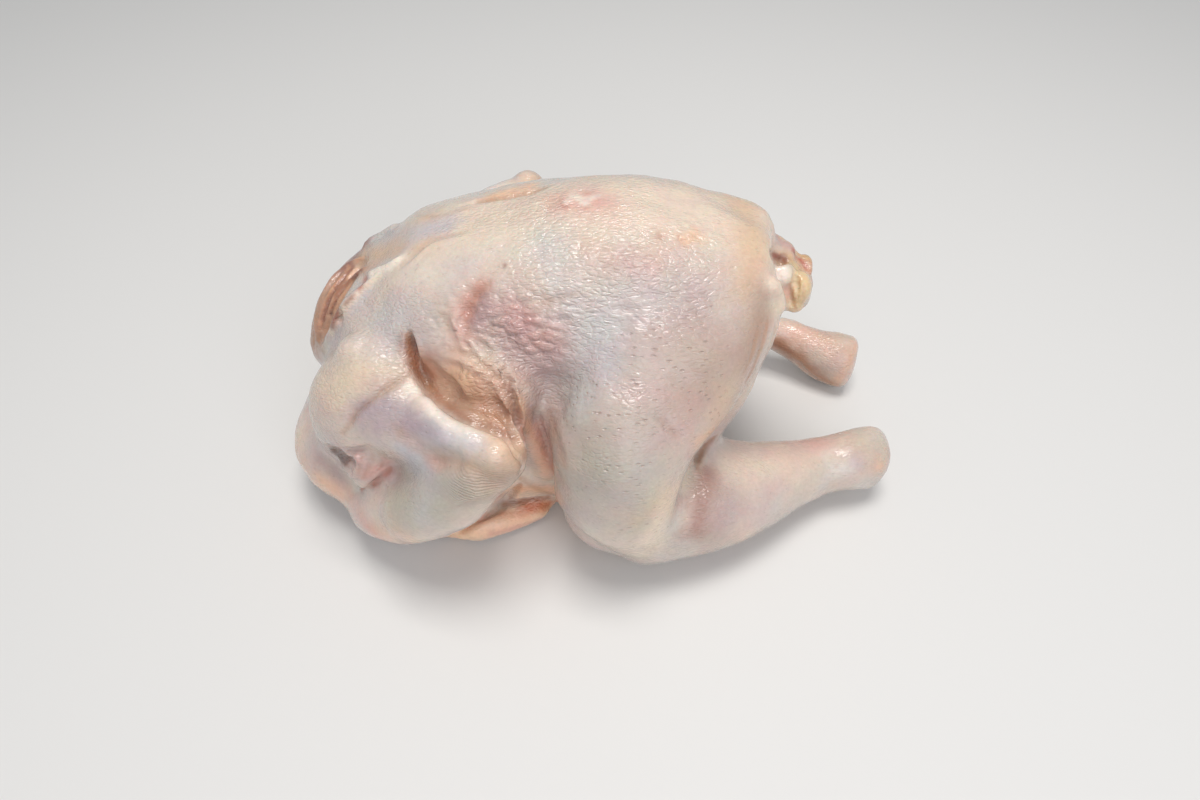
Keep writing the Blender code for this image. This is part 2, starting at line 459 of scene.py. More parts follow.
CUT_LUMPS = (
    ((372, 274), (2.6, 2.2, 2.2), 0.1),
    # the scab's flakes
    ((568, 202), (1.7, 1.3, 1.0), 0.7),
    ((576, 197), (2.0, 1.4, 1.0), 0.7),
    ((582, 203), (1.8, 1.4, 1.0), 0.7),
    ((591, 198), (1.7, 1.3, 1.0), 0.7),
    # gristle, fat and the oil gland's lobe
    ((784, 275), (5.6, 5.2, 5.6), 0.42),
    ((801, 288), (5.4, 6.5, 7.4), 0.2),
    ((807, 260), (3.6, 5.0, 2.6), 0.0),
    ((812, 266), (1.7, 4.0, 3.8), -0.2),
    ((796, 303), (4.6, 5.5, 4.2), 0.3),
    ((786, 247), (6.0, 7.0, 3.6), 0.75),
)


def cut_forms(mesh):
    for line, radius, sink in EDGES_AND_STRANDS:
        roll(mesh, line, radius, sink)
    for pixel, radii, sink in CUT_LUMPS:
        lump(mesh, pixel, radii, sink)


SKIN_VOXEL, SKIN_ROUNDS = 0.9, 3
skin = joined(cut_forms, SKIN_VOXEL, SKIN_ROUNDS)
skin_tree = tree_of(skin)
print("skin", len(skin.vertices), "points", len(skin.polygons), "faces")

# %% [markdown]
# ## Folds, creases and dents
# Loose skin gathers in folds: a sharp valley with a soft roll on one or both sides. Each one is a stroke
# along the skin that presses points in by a bell-shaped profile and lifts a lip beside it. Sculpting by hand
# would do the same, but strokes given by numbers come out the same each time.

# %% Folds of the wing
# Each fold is a line of pixels, its half width and depth in millimetres, and its lip.
WING_FOLDS = (
    # the armpit, and the groove behind the upper arm
    (((408, 334), (409, 345), (411, 356), (415, 368), (424, 380), (436, 392)), 1.7, 7.5, 0.9),
    (((420, 356), (432, 374), (446, 392), (462, 404)), 4.5, 2.6, 0.0),
    (
        ((420, 376), (440, 398), (460, 415), (480, 422), (500, 428), (515, 440), (524, 458), (528, 475)),
        2.6, 3.2, 0.6,
    ),
    # between the shoulder's bulge and the upper arm
    (((409, 375), (398, 382), (383, 391), (374, 399), (357, 412), (349, 426), (343, 433)), 1.6, 1.8, 0.7),
    # under the wrist
    (((391, 468), (383, 477), (373, 485), (362, 489)), 1.2, 1.3, -0.8),
    (((335, 449), (349, 452), (360, 451), (370, 446)), 1.5, 1.4, 0.7),
    (((350, 462), (347, 477), (348, 491)), 1.5, 1.4, 0.5),
    # the valley of the wing's web
    (((400, 432), (415, 445), (430, 455), (455, 462), (470, 465)), 4.0, 2.0, 0.0),
    # over the wing's tip
    (((498, 505), (530, 500), (557, 497)), 1.3, 2.6, 0.5),
    # round the elbow and the forearm, which stand clear of what is behind
    (((521, 484), (509, 500), (500, 508), (486, 516), (472, 523), (458, 532), (447, 541)), 1.6, 2.6, 0.4),
    # fine wrinkles of the pink fold
    (((361, 457), (359, 472), (355, 487)), 0.9, 0.7, 0.3),
    (((373, 455), (369, 467), (363, 478)), 0.9, 0.6, 0.3),
    (((385, 454), (380, 466)), 0.9, 0.5, 0.3),
)
print("folds of the wing", len(WING_FOLDS))

# %% Folds of the flank, the back and the legs
FLANK_FOLDS = (
    (((443, 314), (448, 330), (453, 342), (462, 353)), 1.4, 0.9, 0.5),
    (((460, 336), (468, 349), (477, 358)), 1.2, 0.8, 0.4),
    (((475, 337), (489, 353)), 1.2, 0.7, 0.4),
    (((489, 365), (495, 374), (504, 385)), 1.3, 1.0, 0.5),
    (((503, 365), (508, 382), (512, 400), (518, 420), (523, 437), (534, 466), (546, 486)), 1.3, 1.7, 1.0),
    (((489, 394), (499, 408), (510, 426), (519, 442), (527, 458)), 1.3, 1.5, 0.8),
    (((418, 358), (437, 375), (454, 387), (466, 398)), 1.6, 1.0, 0.6),
    (((523, 471), (534, 485), (557, 494)), 1.2, 1.4, 0.5),
    (((534, 408), (544, 438), (553, 470)), 1.2, 0.8, 0.4),
    (((549, 412), (557, 440), (564, 466)), 1.8, 0.3, 0.2),
    (((440, 362), (462, 368), (484, 382), (500, 402), (509, 424)), 1.2, 0.8, 0.5),
    (((450, 350), (474, 356), (494, 374), (507, 396)), 1.1, 0.6, 0.4),
    (((430, 372), (452, 398), (474, 410)), 1.5, 0.8, 0.5),
)
BACK_FOLDS = (
    (((464, 233), (445, 236), (430, 240), (417, 251), (408, 259), (401, 267)), 1.3, 0.7, 0.4),
    (((487, 284), (478, 292), (470, 303), (465, 318), (467, 334)), 2.4, 1.4, 0.5),
    (((541, 303), (560, 298), (578, 294)), 1.2, 0.6, 0.3),
)
LEG_FOLDS = (
    (((716, 436), (709, 441), (703, 448), (698, 457), (697, 468)), 1.2, 1.8, 0.9),
    # thin folds down the back of the thigh
    (((779, 318), (773, 340), (764, 364), (752, 390), (740, 410)), 0.9, 0.6, 0.3),
    (((768, 320), (763, 342), (754, 366), (744, 388)), 0.9, 0.5, 0.25),
    (((757, 330), (752, 352), (743, 374)), 0.9, 0.35, 0.2),
    (((659, 418), (664, 424)), 1.5, 0.6, 0.0),
    (((669, 427), (676, 436)), 1.5, 0.6, 0.0),
    (((799, 364), (804, 372), (814, 379)), 1.2, 0.6, 0.3),
)
where, facing = places(skin), outward(skin)
for line, wide, deep, lip in WING_FOLDS + FLANK_FOLDS + LEG_FOLDS:
    stroke(line, wide, deep, lip)
for line, wide, deep, lip in BACK_FOLDS:
    stroke(line, wide, deep, lip, both=False)
print("folds", len(WING_FOLDS + FLANK_FOLDS + LEG_FOLDS + BACK_FOLDS))

# %% Pits, dents and ridges of the neck, the tail and the wing
# A pixel line, its half width, then how far it goes in; below 0 it stands out. These are on one side only.
ONE_SIDED = (
    (((337, 312), (336, 320)), 1.6, 3.0),
    # the hollow beside the tail, and the slot in it
    (((774, 255), (779, 257), (784, 259)), 1.6, 3.4),
    (((793, 250), (799, 258), (806, 267)), 1.1, 1.8),
    (((794, 268), (797, 279), (791, 288)), 1.2, 1.4),
    # the hole under the wrist
    (((330, 451), (338, 456), (348, 464)), 2.4, 4.5),
    # between the neck's strands
    (((353, 266), (339, 281), (329, 299), (323, 320), (320, 340)), 0.9, 1.5),
    (((361, 268), (347, 283), (337, 297), (331, 313), (326, 335)), 0.9, 1.5),
    (((345, 268), (331, 284), (323, 300)), 0.8, 1.0),
    # the folds of the tail's fat
    (((789, 284), (790, 296), (793, 308)), 0.9, 1.2),
    (((796, 272), (798, 288), (797, 304)), 0.9, 1.2),
    (((805, 274), (804, 288), (801, 302)), 0.9, 1.0),
    # the far wing's edge, against the back
    (((461, 206), (480, 201), (505, 197), (530, 192), (546, 187)), 1.5, 1.3),
    # the dimple on the wing
    (((436, 463), (439, 464)), 2.2, 1.3),
    # the raised roll beside the red mark on the back, and the scab
    (((460, 300), (452, 313), (451, 328)), 4.5, -0.5),
    (((572, 200), (588, 201)), 4.5, -0.4),
    # pits and pale creases on the back
    (((659, 235), (664, 239)), 1.2, 0.9),
    (((682, 240), (688, 242)), 1.4, 0.8),
    (((694, 236), (698, 236)), 1.2, 0.6),
    (((694, 292), (704, 304), (714, 315)), 1.2, -0.5),
    (((676, 300), (690, 312), (700, 326)), 1.1, -0.4),
    (((620, 300), (640, 304), (656, 300)), 1.2, -0.5),
    (((600, 312), (622, 318), (640, 316)), 1.1, -0.4),
    # the upper arm's ridge and the elbow
    (((410, 377), (445, 442), (472, 452), (505, 463)), 3.4, -0.9),
    # the forearm's ridge
    (((418, 511), (470, 498), (519, 483)), 3.2, -0.8),
)
for line, wide, deep in ONE_SIDED:
    stroke(line, wide, deep, both=False)
put_back(skin, where)
facing = outward(skin)
print("dents", len(ONE_SIDED))

# %% [markdown]
# ## The neck's front
# The cut runs on round the neck, out of the picture's sight. The strands that show are carried on there: their
# line is shifted a few millimetres, by more at one end than at the other, so that they run together as muscle
# does. The middle of the cut is a shallow hollow.

# %% Carry the strands on
NECK_LINE = ((350, 262), (338, 280), (327, 298), (319, 320), (319, 342))
# How far each strand's groove is moved at its two ends, in millimetres, its half width and its depth.
NECK_FRONT = (
    ((-3, 2, -4), (-5, 3, -8), 1.2, 0.8),
    ((-9, 3, -7), (-4, 7, -15), 0.8, 0.5),
    ((-6, 8, -15), (-13, 8, -13), 1.0, 0.6),
    ((-14, 12, -15), (-9, 13, -26), 0.7, 0.4),
)
STRAND_LIP = 0.2  # millimetres


def on_skin(points):
    """The nearest places on the skin, and the way that it faces there."""
    found = [skin_tree.find_nearest(Vector(point)) for point in points]
    return np.array([f[0] for f in found]), np.array([f[1] for f in found])


def neck_strand(first, last):
    line = trace(NECK_LINE)[0]
    share = np.linspace(0, 1, len(line))[:, None]
    return line + (1 - share) * np.array(first) + share * np.array(last)


for first, last, wide, deep in NECK_FRONT:
    press(*on_skin(neck_strand(first, last)), wide, deep, STRAND_LIP)
HOLLOW = np.array([(-122, 2, 71), (-122, 3, 66), (-121, 4, 60), (-120, 5, 55), (-119, 6, 51)])  # millimetres
HOLLOW_WIDE, HOLLOW_DEEP = 3.5, 3.0
press(*on_skin(HOLLOW), HOLLOW_WIDE, HOLLOW_DEEP)
put_back(skin, where)
facing = outward(skin)
print("strands on the neck's front", len(NECK_FRONT))

# %% [markdown]
# ## The skin's own relief
# Plucked skin is never smooth. It is slack over the muscle, so it undulates. It is pebbled where the feathers
# stood, and finely creased where it is gathered. Noise and cell patterns worked out at each point of the mesh
# give these in real geometry, and the finest grain is left to the material.

# %% Smooth noise
def shuffled(cells, seed):
    """A repeatable random number from 0 to 1 for each whole-number place, mixed with large primes."""
    mixed = cells[..., 0] * 73856093 ^ cells[..., 1] * 19349663 ^ cells[..., 2] * 83492791 ^ seed * 2654435761
    mixed = (mixed ^ (mixed >> 13)) * 1274126177 & 0xFFFFFFFF
    return ((mixed ^ (mixed >> 16)) & 0xFFFFFF) / 0xFFFFFF


def noise(points, size, seed=1):
    """Smooth noise from -1 to 1 whose blobs are about size apart."""
    scaled = points / size
    corner = np.floor(scaled).astype(np.int64)
    part = scaled - corner
    ease = part * part * (3 - 2 * part)
    total = np.zeros(len(points))
    for dx in (0, 1):
        for dy in (0, 1):
            for dz in (0, 1):
                weight = np.abs(1 - dx - ease[:, 0]) * np.abs(1 - dy - ease[:, 1]) * np.abs(1 - dz - ease[:, 2])
                total += weight * shuffled(corner + (dx, dy, dz), seed)
    return 2 * total - 1


print("noise at three places", np.round(noise(where[:3], 26), 2))


# %% Cells
def cells(points, size, seed=1):
    """Distances to the nearest two of points scattered about size apart, in the same units as size."""
    scaled = points / size
    corner = np.floor(scaled).astype(np.int64)
    first = np.full(len(points), 9.0)
    second = np.full(len(points), 9.0)
    for dx in (-1, 0, 1):
        for dy in (-1, 0, 1):
            for dz in (-1, 0, 1):
                home = corner + (dx, dy, dz)
                jitter = np.stack([shuffled(home, seed + k) for k in range(3)], axis=1)
                away = np.linalg.norm(home + jitter - scaled, axis=1)
                second = np.minimum(second, np.maximum(first, away))
                first = np.minimum(first, away)
    return first * size, second * size


print("nearest of the scattered points", np.round(cells(where[:3], 3.4)[0], 2), "mm")


# %% Masks
def near_pixels(points, spots, reach):
    """1 at the places that show at these pixels, falling to 0 about reach away, and weaker on the far side."""
    found = np.zeros(len(points))
    for spot in spots:
        centre = seen(*spot)[0]
        for side in (1, -1):
            away = np.linalg.norm(points - centre * (1, side, 1), axis=1)
            found = np.maximum(found, (1 if side > 0 else FAR_SIDE) * np.exp(-((away / reach) ** 2)))
    return found


pebbled = near_pixels(where, ((640, 260), (590, 250), (700, 250), (380, 360), (420, 300)), 26)
goose = near_pixels(where, ((715, 465), (745, 465), (770, 460), (720, 495)), 12)
crinkled = near_pixels(where, ((535, 330), (545, 345), (525, 310), (505, 335), (555, 320)), 8)
crinkled += 0.7 * near_pixels(where, ((470, 310), (450, 325), (490, 345), (480, 370), (500, 390)), 9)
WAVY_SPOTS = ((500, 300), (560, 290), (620, 320), (600, 370), (560, 380), (640, 280), (700, 260))
wavy = near_pixels(where, WAVY_SPOTS, 22)
print("the crinkled patch covers", int((crinkled > 0.5).sum()), "points")


# %% Slack and bumps
def bumps(points, size, seed, high):
    """Rounded bumps about size apart, in millimetres."""
    return high * (0.6 - cells(points, size, seed)[0] / size)


SLACK = ((0.8, 26, 3), (0.5, 11, 5), (0.22, 5, 7))  # height and size in millimetres, and the seed
lift = sum(high * noise(where, size, seed) for high, size, seed in SLACK)
lift += bumps(where, 3.4, 11, 0.2 * (0.3 + 0.7 * pebbled))
lift += bumps(where * (1, 1, 0.7), 3.0, 13, 0.34 * goose)
print("slack and bumps from", round(lift.min(), 2), "to", round(lift.max(), 2), "mm")


# %% Creases
def creases(points, size, seed, wide, deep):
    """Valleys between cells about size apart, and how wide and deep they are, all in millimetres."""
    first, second = cells(points, size, seed)
    return deep * np.exp(-(((second - first) / wide) ** 2))


lift -= creases(where * (0.7, 1, 1), 4.4, 21, 1.0, 1.1 * np.clip(crinkled, 0, 1))
lift -= creases(where * (0.7, 1, 1), 2.8, 23, 0.8, 0.4 * np.clip(crinkled, 0, 1))
bent = where + 1.6 * np.stack([noise(where, 9, 51 + k) for k in range(3)], axis=1)
lift -= creases(bent * (0.35, 1, 1), 3.2, 25, 0.8, 0.3 * wavy)
lift += 0.24 * wavy * noise(bent * (0.4, 1, 1), 5, 55)

FLAT_BELOW = 6  # millimetres: the skin that the bird lies on stays flat
above = np.clip(where[:, 2] / FLAT_BELOW, 0, 1)
where += facing * (lift * above)[:, None]
where[:, 2] = np.maximum(where[:, 2], 0)
put_back(skin, where)
print("relief from", round(lift.min(), 2), "to", round(lift.max(), 2), "mm")

# %% Fewer faces
MOST_TRIANGLES = 190000

fewer = bird.modifiers.new("fewer", "DECIMATE")
fewer.ratio = min(1.0, MOST_TRIANGLES / (2 * len(skin.polygons)))
fewer.use_collapse_triangulate = True
skin = evaluated(bird)
bird.modifiers.clear()
bird.data = skin
skin.shade_smooth()
where, facing = places(skin), outward(skin)
skin_tree = tree_of(skin)
print("finished skin", len(skin.polygons), "triangles")

# %% [markdown]
# ## Tints
# Raw skin is thin enough to show what is under it: cream over fat, lilac and grey over muscle, pink where it
# is bruised, orange where it is thinnest. Shade is painted in as well: a warm reddish tint and the darkest tints
# go into folds, hollows, grooves and undersides, and one pale patch on the back is a painted highlight. They are
# painted by soft dabs along lines of pixels into one colour attribute, layer on layer, as one would glaze a model.

# %% Tints by name
def linear(code):
    """A linear colour from an sRGB hex code."""
    parts = [int(code[i : i + 2], 16) / 255 for i in (0, 2, 4)]
    return np.array([p / 12.92 if p <= 0.04045 else ((p + 0.055) / 1.055) ** 2.4 for p in parts])


def rgba(code):
    return tuple(linear(code)) + (1.0,)


PLAIN = linear("D4C7BF")
HEX = {
    "cream": "E8D9C8",
    "lilac": "C4B5B8",
    "grey": "B5B0AC",
    "olive": "B3AE9F",
    "blue_white": "CCCFCF",
    "white": "F1E9E0",
    "blush": "D9A096",
    "red": "B4604F",
    "orange": "EDBB96",
    "deep_orange": "CC7B52",
    # painted shade: this tint darkens folds, the flank under the wing, the thigh's edges and the far leg's
    # underside
    "brown_shade": "B08468",
    # painted shade: laid in creases, pits, grooves and hollows
    "dark": "8A5444",
    "fat": "E4C893",
    "flesh": "B58D75",
    "purple": "A88C90",
    # painted shade: the shaded side of the far shoulder
    "plum_shade": "86605F",
    "mauve": "C3A2A0",
    "tip": "FCD6B8",
    "tan": "B9A396",
    "sand": "D6B99E",
    "ice": "C4C4CE",
    "violet": "B2A3AD",
    "ochre": "D2A877",
    # painted shade: the darkness inside the hole under the wrist
    "hollow": "6E5653",
    "bruise": "A6847C",
}
TINTS = {name: linear(code) for name, code in HEX.items()}
print("tints", len(TINTS))


# %% Patches, glazes and dabs
def patches(tint, strength, size, seed):
    """Glazes ragged patches of a tint that follow no feature, as fat and muscle show through the skin."""
    cloud = noise(where, size, seed) + 0.5 * noise(where, size * 0.4, seed + 1)
    share = strength * np.clip((cloud - 0.05) / 0.6, 0, 1)
    colour[:] += share[:, None] * (TINTS[tint] - colour)


def glaze(tint, strength, reach, points):
    """Glazes one tint along a line of places."""
    near = around(where, points, 2.6 * reach)
    if not len(near):
        return
    away = distance_to_line(where[near], points)[0]
    ragged = 1 + 0.35 * noise(where[near], reach * 0.9, 31) + 0.2 * noise(where[near], reach * 0.35, 33)
    share = strength * np.exp(-((away / (reach * ragged)) ** 2))
    colour[near] += share[:, None] * (TINTS[tint] - colour[near])


def dab(tint, strength, reach, line, both=True):
    """Glazes one tint along a line of pixels."""
    points = trace(line, 8.0)[0] if len(line) > 1 else np.array([seen(*line[0])[0]] * 2)
    for side in (1, -1) if both else (1,):
        glaze(tint, strength, reach, points * (1, side, 1))


# A tint, its strength, the patches' size in millimetres and the noise's seed.
PATCHES = (
    ("cream", 0.5, 30, 41),
    ("lilac", 0.55, 24, 43),
    ("blue_white", 0.45, 15, 45),
    ("blush", 0.16, 12, 47),
    ("olive", 0.3, 18, 49),
)
colour = np.tile(PLAIN, (len(where), 1))
for tint, strength, size, seed in PATCHES:
    patches(tint, strength, size, seed)
print("patches of", len(PATCHES), "tints")

# %% Broad tints, on both sides
# A tint, its strength, its reach in millimetres and the line of pixels that it follows.
BROAD = (
    ("cream", 0.6, 20, ((450, 225), (560, 215), (650, 205), (735, 230))),
    ("cream", 0.7, 9, ((752, 230), (768, 280), (774, 315))),
    ("cream", 0.6, 13, ((345, 380), (385, 360))),
    ("fat", 0.2, 11, ((325, 378), (370, 376))),
    ("violet", 0.5, 4, ((311, 362), (309, 385))),
    ("lilac", 0.5, 20, ((650, 330), (700, 330), (690, 380), (640, 400))),
    ("tan", 0.75, 15, ((690, 330), (712, 350), (705, 385))),
    ("olive", 0.35, 12, ((600, 490), (640, 500))),
    ("cream", 0.5, 9, ((600, 540), (640, 552))),
    ("ice", 0.45, 8, ((600, 335), (610, 360))),
    ("blush", 0.25, 8, ((680, 415), (690, 440))),
    ("sand", 0.8, 9, ((752, 235), (754, 262), (748, 285))),
    # painted shade on the back of the thigh, by the tail
    ("tan", 0.8, 7, ((764, 300), (760, 325), (748, 352))),
    ("ice", 0.6, 10, ((575, 370), (568, 395))),
    # painted shade down the thigh's front edge
    ("grey", 0.6, 11, ((572, 380), (570, 430), (585, 470))),
    ("olive", 0.55, 9, ((588, 450), (596, 470))),
    ("tan", 0.35, 14, ((650, 400), (640, 430))),
    ("cream", 0.35, 10, ((700, 480), (690, 440))),
    # painted shade on the thigh's front edge
    ("brown_shade", 0.25, 8, ((552, 410), (562, 460))),
    ("grey", 0.5, 18, ((630, 470), (620, 510))),
    ("violet", 0.7, 8, ((335, 340), (352, 345))),
    ("ice", 0.55, 10, ((402, 318), (385, 322), (390, 335))),
    ("grey", 0.4, 8, ((425, 325), (438, 318))),
    ("violet", 0.5, 3.5, ((422, 342), (432, 352))),
    ("sand", 0.45, 6, ((380, 250), (402, 252), (425, 244))),
    ("ice", 0.5, 5, ((375, 237), (400, 233), (446, 228))),
    ("blue_white", 0.6, 6, ((378, 240), (392, 240))),
    ("blue_white", 0.6, 6, ((581, 393), (578, 410))),
    ("sand", 0.5, 5, ((454, 377), (466, 384))),
    # painted shade on the flank under the wing
    ("brown_shade", 0.6, 5, ((486, 408), (498, 415))),
    ("sand", 0.6, 7, ((722, 403), (714, 425))),
    ("orange", 0.5, 6, ((378, 534), (400, 536))),
    ("cream", 0.9, 6, ((650, 540), (664, 515), (676, 490))),
    ("fat", 0.25, 6, ((640, 520), (662, 500))),
    ("bruise", 0.9, 6, ((708, 474), (702, 500), (695, 530))),
    ("bruise", 0.5, 9, ((728, 500), (716, 535))),
    ("lilac", 0.4, 9, ((735, 510), (765, 500))),
    ("cream", 0.5, 8, ((730, 465), (800, 462), (850, 438))),
    ("blush", 0.25, 10, ((780, 450), (820, 442))),
    # painted shade: the next rows darken the flank and the skin web that lie under the wing
    ("brown_shade", 0.6, 9, ((430, 365), (455, 385), (480, 402), (500, 410))),
    ("orange", 0.45, 8, ((460, 375), (490, 385))),
    ("brown_shade", 0.5, 6, ((512, 405), (530, 435), (548, 465))),
    ("blush", 0.4, 5, ((535, 440), (552, 470))),
    ("brown_shade", 0.5, 6, ((478, 402), (494, 414))),
    ("violet", 0.9, 6.5, ((365, 412), (385, 405), (402, 412), (425, 428), (440, 440))),
    ("ice", 1.0, 7, ((410, 454), (424, 461), (416, 470))),
    ("ice", 0.6, 3, ((395, 480), (412, 490))),
    ("cream", 0.8, 6, ((478, 430), (500, 440), (515, 458))),
    ("orange", 0.4, 6, ((490, 432), (512, 450))),
    ("white", 0.95, 4.5, ((412, 385), (440, 416), (468, 438))),
    ("ice", 0.7, 4.0, ((470, 445), (445, 436), (430, 428))),
    ("sand", 0.5, 7, ((500, 468), (488, 478), (512, 460))),
    ("olive", 0.75, 10, ((400, 500), (440, 500), (468, 490))),
    # painted shade under the elbow
    ("brown_shade", 0.35, 6, ((478, 478), (498, 482), (512, 472))),
    ("ice", 0.45, 5, ((430, 478), (426, 500), (420, 520))),
    ("olive", 0.4, 6, ((400, 475), (415, 480))),
    ("grey", 0.5, 6, ((430, 490), (460, 480))),
    ("tip", 1.0, 7, ((458, 536), (500, 526), (550, 508))),
    ("cream", 0.5, 8, ((310, 400), (315, 385))),
    ("orange", 0.75, 7, ((294, 450), (305, 480), (335, 492))),
    ("purple", 0.55, 5, ((320, 460), (340, 475))),
    ("blush", 0.5, 5, ((352, 500), (365, 525), (380, 538))),
    # painted shade down the back of the thigh
    ("brown_shade", 0.4, 8, ((762, 330), (745, 385))),
    ("blue_white", 0.6, 7, ((548, 240), (552, 260))),
    # a painted highlight: the pale glint on the middle of the back
    ("blue_white", 0.5, 11, ((615, 280), (650, 292))),
    ("lilac", 0.4, 10, ((650, 310), (690, 300))),
    ("blue_white", 0.5, 8, ((600, 330), (590, 360))),
)
for tint, strength, reach, line in BROAD:
    dab(tint, strength, reach, line)
print("broad dabs", len(BROAD))

# %% Marks on both sides
BOTH_DETAILS = (
    # painted shade in the armpit
    ("dark", 0.95, 2.6, ((409, 342), (412, 358), (419, 374))),
    ("deep_orange", 0.45, 5.0, ((420, 358), (430, 372))),
    # painted shade along the grooves behind the upper arm and down the flank
    ("dark", 0.6, 2.0, ((424, 382), (442, 400), (462, 416), (490, 427), (512, 436))),
    ("dark", 0.65, 1.5, ((508, 385), (516, 410), (524, 440), (536, 470), (548, 488))),
    ("orange", 0.55, 2.6, ((520, 400), (532, 436), (545, 470), (556, 488))),
    ("blush", 0.4, 4.0, ((540, 425), (552, 455), (560, 478))),
    ("deep_orange", 0.3, 4.0, ((552, 466), (560, 482))),
    # painted shade along the fold over the wing's tip
    ("dark", 0.7, 1.6, ((505, 504), (530, 500), (557, 497))),
    ("deep_orange", 0.95, 3.2, ((528, 508), (548, 504), (562, 500))),
    ("deep_orange", 0.35, 2.0, ((480, 522), (500, 514), (520, 514))),
    ("blush", 0.5, 1.8, ((490, 534), (515, 528), (540, 520))),
    ("orange", 0.8, 4.0, ((516, 488), (535, 489), (552, 490))),
    # painted shade in the crease under the elbow
    ("brown_shade", 0.5, 1.5, ((520, 478), (535, 488), (550, 494))),
    ("mauve", 0.85, 6.0, ((357, 462), (368, 474), (390, 468))),
    ("blush", 0.4, 2.0, ((362, 478), (374, 470), (388, 460))),
    ("blush", 0.4, 3.0, ((434, 462), (442, 464))),
    ("red", 0.65, 1.3, ((362, 489), (376, 482), (390, 470))),
    ("violet", 0.6, 3.4, ((400, 425), (430, 430), (380, 425))),
    # painted shade inside the hole under the wrist
    ("hollow", 0.85, 2.0, ((332, 452), (346, 463))),
    # painted shade in the crease behind the knee
    ("brown_shade", 0.65, 1.4, ((714, 437), (704, 446), (698, 460))),
    ("cream", 0.5, 3.0, ((688, 470), (682, 484))),
    ("orange", 0.5, 3.4, ((715, 430), (700, 440))),
    ("orange", 0.5, 3.6, ((880, 467),)),
    ("tan", 0.4, 8, ((862, 448), (870, 456))),
    ("lilac", 0.7, 4.5, ((856, 462),)),
    ("blush", 0.4, 5, ((813, 442),)),
)
for tint, strength, reach, line in BOTH_DETAILS:
    dab(tint, strength, reach, line)
for first, last, wide, deep in NECK_FRONT:
    points = on_skin(neck_strand(first, last))[0]
    glaze("flesh", 0.75, 5.0, points)
    glaze("orange", 0.3, 1.4, points + (0, 2, -1))
    # painted shade in each strand's groove
    glaze("dark", 0.5 * deep, 0.9 * wide, points)
# painted shade: the hollow in the middle of the cut is darkened
glaze("bruise", 0.5, 5.0, on_skin(HOLLOW)[0])
glaze("dark", 0.5, 2.6, on_skin(HOLLOW)[0])
print("dabs on both sides", len(BOTH_DETAILS))

# %% Marks of the back, on one side
DETAILS = (
    ("blush", 0.55, 5.0, ((482, 288), (470, 300), (464, 312), (464, 328))),
    ("red", 0.5, 2.8, ((480, 292), (473, 300), (470, 312))),
    ("grey", 0.4, 4.0, ((490, 300), (487, 315))),
    ("purple", 0.7, 4, ((484, 306), (480, 322))),
    ("mauve", 0.8, 8, ((510, 315), (530, 340), (550, 350))),
    ("blush", 0.3, 5, ((520, 318), (535, 342), (548, 335))),
    ("red", 0.15, 2.5, ((545, 303), (535, 312), (528, 325))),
    ("purple", 0.5, 8, ((520, 350), (540, 372), (535, 400))),
    ("blush", 0.45, 8, ((560, 200), (604, 203))),
    ("blush", 0.6, 3.4, ((566, 201), (592, 201))),
    ("red", 0.4, 1.3, ((563, 205), (566, 207))),
    ("red", 0.4, 1.2, ((582, 208), (588, 207))),
    ("red", 0.35, 1.2, ((585, 194), (590, 193))),
    ("white", 0.85, 1.8, ((572, 196), (580, 198), (583, 203), (586, 203))),
    ("white", 0.8, 1.3, ((566, 202), (569, 201))),
    ("white", 0.8, 1.3, ((590, 198), (595, 197))),
    ("orange", 0.55, 3.0, ((492, 196), (512, 191), (532, 186))),
    # painted shade in the groove along the far wing's edge
    ("brown_shade", 0.5, 1.5, ((480, 202), (505, 198), (530, 193), (546, 188))),
    ("dark", 0.7, 0.8, ((504, 266),)),
    ("red", 0.4, 2.2, ((660, 236),)),
    ("orange", 0.5, 3, ((682, 240), (695, 236))),
    ("blush", 0.3, 8, ((610, 265), (650, 262))),
)
print("marks of the back", len(DETAILS))

